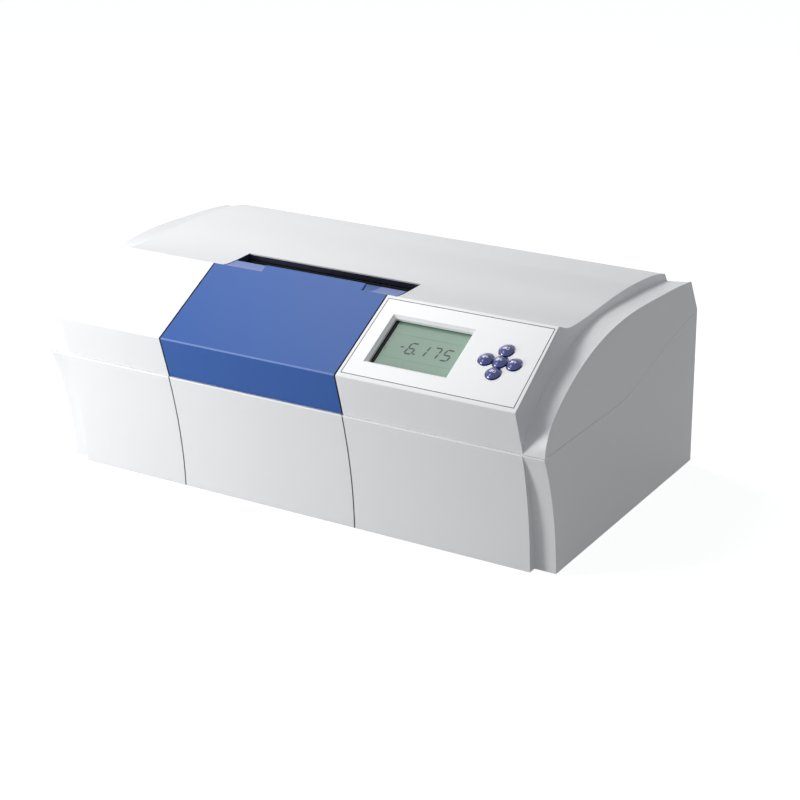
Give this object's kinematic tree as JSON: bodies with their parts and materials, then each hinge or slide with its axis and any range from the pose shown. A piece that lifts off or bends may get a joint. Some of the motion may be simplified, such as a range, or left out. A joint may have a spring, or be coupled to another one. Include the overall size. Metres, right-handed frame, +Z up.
{
  "type": "polarimeter",
  "caption": "Bench polarimeter: moulded case with a hinged sample lid, sloping display and keypad, and the optical bench, electronics and rear connectors inside.",
  "frame": {"origin": "middle of the footprint, on the table under the rubber feet", "axes": "+X along the optical axis toward the keypad end, -Y toward the operator, +Z up"},
  "size_m": [0.6, 0.3621, 0.2395],
  "materials": {
    "case_white": "fine satin moulding",
    "lid_blue": "satin blue moulding",
    "panel_white": "smooth satin plate",
    "key_navy": "glossy navy caps",
    "chamber_black": "matt black paint",
    "black_plastic": "matt black",
    "display_glass": "grey-green display",
    "glass": "clear glass",
    "filter_glass": "amber glass",
    "steel": "zinc-plated sheet",
    "screw_steel": "bright plated",
    "rubber": "black rubber",
    "bench_alloy": "machined alloy",
    "black_alloy": "black anodised alloy",
    "brass": "machined brass",
    "copper": "enamelled copper winding",
    "board_green": "green board",
    "ceramic": "pale ceramic",
    "core_iron": "varnished laminations",
    "motor_grey": "dark grey can"
  },
  "bodies": {
    "housing": {"upper_cover": "case_white", "lower_case": "case_white", "base_plate": "steel", "rubber_feet": "rubber", "base_plate_screws": "screw_steel", "sample_chamber": "chamber_black", "tube_cradle": "chamber_black", "port_bushings": "black_alloy", "port_windows": "glass", "hinge_brackets": "chamber_black", "hinge_pins": "screw_steel", "hinge_screws": "screw_steel", "control_panel": "panel_white", "display_bezel": "black_plastic", "display_glass": "display_glass", "display_board": "board_green", "display_posts": "screw_steel", "key_board": "board_green", "key_switches": "black_plastic", "key_board_posts": "screw_steel", "optical_bench": "bench_alloy", "bench_posts": "bench_alloy", "lamp_house": "chamber_black", "lamp_socket": "ceramic", "spectral_lamp": "glass", "lens_barrel": "black_alloy", "condenser_lens": "glass", "colour_filter": "filter_glass", "polarizer_mount": "black_alloy", "polarizer_prism": "glass", "modulator_bobbin": "ceramic", "modulator_coil": "copper", "analyzer_house": "black_alloy", "motor_bracket": "steel", "servo_motor": "motor_grey", "detector_house": "black_alloy", "photomultiplier": "glass", "board_standoffs": "screw_steel", "main_board": "board_green", "board_chips": "black_plastic", "board_capacitors": "black_plastic", "transformer_core": "core_iron", "transformer_winding": "copper", "rear_panel": "steel", "rear_panel_screws": "screw_steel", "power_inlet": "black_plastic", "fuse_holder": "black_plastic", "switch_frame": "black_plastic", "serial_socket": "black_plastic"},
    "lid": {"sample_lid": "lid_blue"},
    "rocker": {"power_rocker": "black_plastic"},
    "analyzer": {"analyzer_wheel": "brass", "analyzer_prism": "glass"},
    "pinion": {"drive_pinion": "brass"},
    "key_up_cap": {"key_up": "key_navy"},
    "key_left_cap": {"key_left": "key_navy"},
    "key_centre_cap": {"key_centre": "key_navy"},
    "key_right_cap": {"key_right": "key_navy"},
    "key_down_cap": {"key_down": "key_navy"}
  },
  "joints": [
    {"name": "lid_hinge", "type": "hinge", "parent": "housing", "child": "lid", "pos_m": [0, -0.03715, 0.2139], "axis": [-1, 0, 0], "range_deg": [0, 105]},
    {"name": "key_up_press", "type": "slide", "parent": "housing", "child": "key_up_cap", "axis": [0, 0.4728, -0.8812], "range_m": [0, 0.001], "stiffness_N_per_m": 400},
    {"name": "key_left_press", "type": "slide", "parent": "housing", "child": "key_left_cap", "axis": [0, 0.4728, -0.8812], "range_m": [0, 0.001], "stiffness_N_per_m": 400},
    {"name": "key_centre_press", "type": "slide", "parent": "housing", "child": "key_centre_cap", "axis": [0, 0.4728, -0.8812], "range_m": [0, 0.001], "stiffness_N_per_m": 400},
    {"name": "key_right_press", "type": "slide", "parent": "housing", "child": "key_right_cap", "axis": [0, 0.4728, -0.8812], "range_m": [0, 0.001], "stiffness_N_per_m": 400},
    {"name": "key_down_press", "type": "slide", "parent": "housing", "child": "key_down_cap", "axis": [0, 0.4728, -0.8812], "range_m": [0, 0.001], "stiffness_N_per_m": 400},
    {"name": "power_rocker_tilt", "type": "hinge", "parent": "housing", "child": "rocker", "pos_m": [-0.142, 0.17415, 0.057], "axis": [-1, 0, 0], "range_deg": [0, 14]},
    {"name": "analyzer_spin", "type": "hinge", "parent": "housing", "child": "analyzer", "pos_m": [0.137, -0.113, 0.148], "axis": [1, 0, 0], "range_deg": [-45, 45]},
    {"name": "pinion_spin", "type": "hinge", "parent": "housing", "child": "pinion", "pos_m": [0.158, -0.0755, 0.148], "axis": [1, 0, 0], "range_deg": [-180, 180]}
  ],
  "couplings": [
    {"joint": "pinion_spin", "follows": "analyzer_spin", "ratio": -4}
  ]
}
